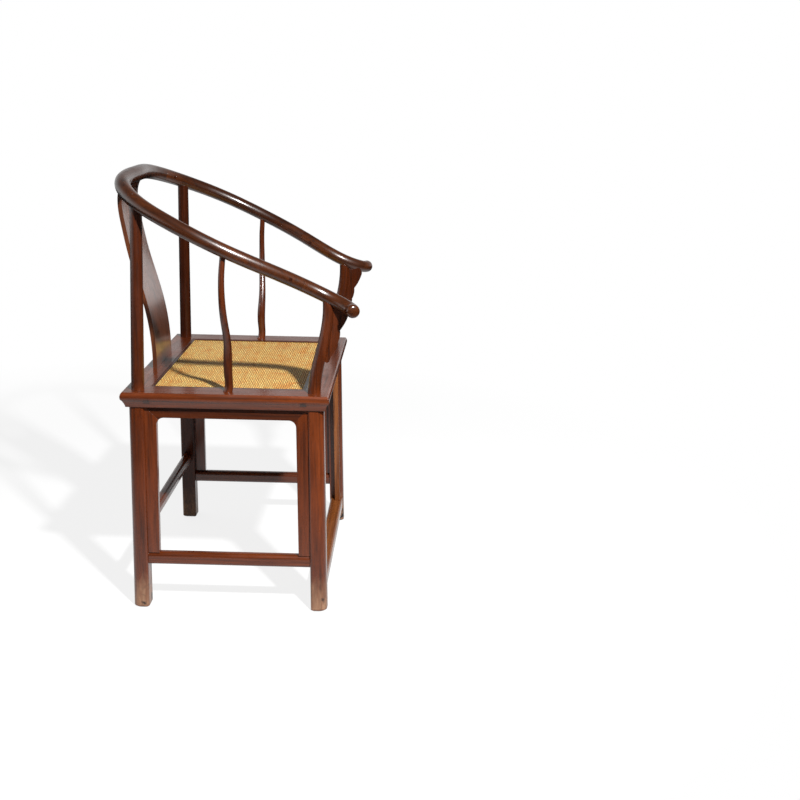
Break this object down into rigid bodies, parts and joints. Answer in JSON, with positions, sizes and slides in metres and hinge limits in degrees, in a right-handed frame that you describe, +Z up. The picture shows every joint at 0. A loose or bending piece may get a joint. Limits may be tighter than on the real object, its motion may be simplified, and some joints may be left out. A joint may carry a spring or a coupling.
{
  "type": "horseshoe-back armchair",
  "caption": "Round-legged wooden armchair with a horseshoe crest rail, plain S-curved pierced splat, woven-mat seat, board-framed legs and a footrest stretcher.",
  "frame": {"origin": "on the floor, under the middle of the overall box, hands and splat included", "axes": "+Z up; the sitter faces -Y; the sitter's left is +X; the chair is symmetric about X = 0"},
  "size_m": [0.6178, 0.5482, 0.9506],
  "materials": {
    "frame_wood": "satin oiled hardwood",
    "woven_mat": "fine woven rush",
    "seat_webbing": "woven palm cord strands"
  },
  "bodies": {
    "root": {"crest_rail_centre": "frame_wood", "crest_rail_left_shoulder": "frame_wood", "crest_rail_right_shoulder": "frame_wood", "crest_rail_left_hand": "frame_wood", "crest_rail_right_hand": "frame_wood", "crest_rail_pins": "frame_wood", "rear_leg_left": "frame_wood", "rear_leg_right": "frame_wood", "front_leg_left": "frame_wood", "front_leg_right": "frame_wood", "side_post_left": "frame_wood", "side_post_right": "frame_wood", "back_splat": "frame_wood", "post_spandrel_left": "frame_wood", "post_spandrel_right": "frame_wood", "seat_frame_front": "frame_wood", "seat_frame_back": "frame_wood", "seat_frame_left": "frame_wood", "seat_frame_right": "frame_wood", "seat_brace_left": "frame_wood", "seat_brace_right": "frame_wood", "seat_webbing": "seat_webbing", "woven_mat": "woven_mat", "mat_edging_front": "frame_wood", "mat_edging_back": "frame_wood", "mat_edging_left": "frame_wood", "mat_edging_right": "frame_wood", "front_apron": "frame_wood", "front_strip_left": "frame_wood", "front_strip_right": "frame_wood", "side_apron_left": "frame_wood", "side_apron_right": "frame_wood", "side_strip_left_front": "frame_wood", "side_strip_left_rear": "frame_wood", "side_strip_right_front": "frame_wood", "side_strip_right_rear": "frame_wood", "back_apron": "frame_wood", "back_spandrel_left": "frame_wood", "back_spandrel_right": "frame_wood", "footrest": "frame_wood", "footrest_apron": "frame_wood", "side_stretcher_left": "frame_wood", "side_stretcher_right": "frame_wood", "back_stretcher": "frame_wood"}
  },
  "joints": []
}
